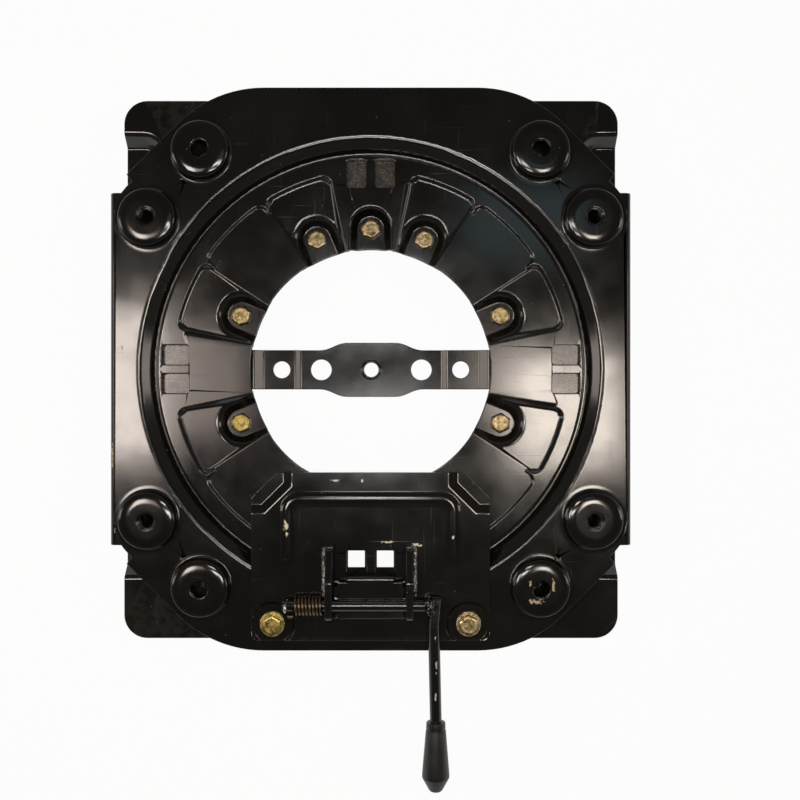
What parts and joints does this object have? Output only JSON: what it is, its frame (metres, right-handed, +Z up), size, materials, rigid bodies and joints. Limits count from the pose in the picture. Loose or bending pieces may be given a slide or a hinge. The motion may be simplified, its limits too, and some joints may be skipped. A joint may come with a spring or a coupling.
{
  "type": "swivel seat base",
  "caption": "Pressed steel seat swivel: a turntable plate with seat bosses turns under a bolted retainer ring and locks at quarter turns with a sprung lever pawl.",
  "frame": {"origin": "swivel axis at the underside of the side rails, centre of the base bolt holes", "axes": "+Z up along the swivel axis, +Y to the rear, -Y towards the lever, +X to the right seen from above with the lever towards the viewer"},
  "size_m": [0.376, 0.5061, 0.0527],
  "materials": {
    "black_paint": "satin to gloss black enamel, worn to metal on some edges",
    "yellow_zinc": "yellow passivated zinc plate",
    "bare_steel": "bare steel",
    "spring_steel": "oiled dark spring wire",
    "grip_plastic": "moulded black",
    "glide_plastic": "moulded natural"
  },
  "bodies": {
    "base": {"lower_plate": "black_paint", "retainer_ring": "black_paint", "ring_bolts": "yellow_zinc", "ring_weld_nuts": "black_paint", "lower_glide_pads": "glide_plastic", "upper_glide_pads": "glide_plastic", "centre_strap": "black_paint", "strap_rivets": "black_paint"},
    "turntable": {"upper_plate": "black_paint", "seat_weld_nuts": "black_paint", "latch_plate": "black_paint", "latch_bolts": "yellow_zinc", "latch_spring_washers": "yellow_zinc", "latch_washers": "yellow_zinc", "latch_weld_nuts": "black_paint", "left_ear": "black_paint", "right_ear": "black_paint", "ear_welds": "bare_steel", "torsion_spring": "spring_steel"},
    "latch": {"pawl": "black_paint", "pawl_welds": "black_paint", "latch_shaft": "black_paint", "lever_rod": "black_paint", "lever_weld": "black_paint", "lever_grip": "grip_plastic", "split_pin": "bare_steel"}
  },
  "joints": [
    {"name": "swivel", "type": "hinge", "parent": "base", "child": "turntable", "pos_m": [0, 0, 0], "axis": [0, 0, 1], "continuous": true},
    {"name": "latch_lever", "type": "hinge", "parent": "turntable", "child": "latch", "pos_m": [0, -0.1685, 0.0397], "axis": [1, 0, 0], "range_deg": [-10, 4], "stiffness_Nm_per_rad": 0.6, "springref_deg": -20.05}
  ]
}
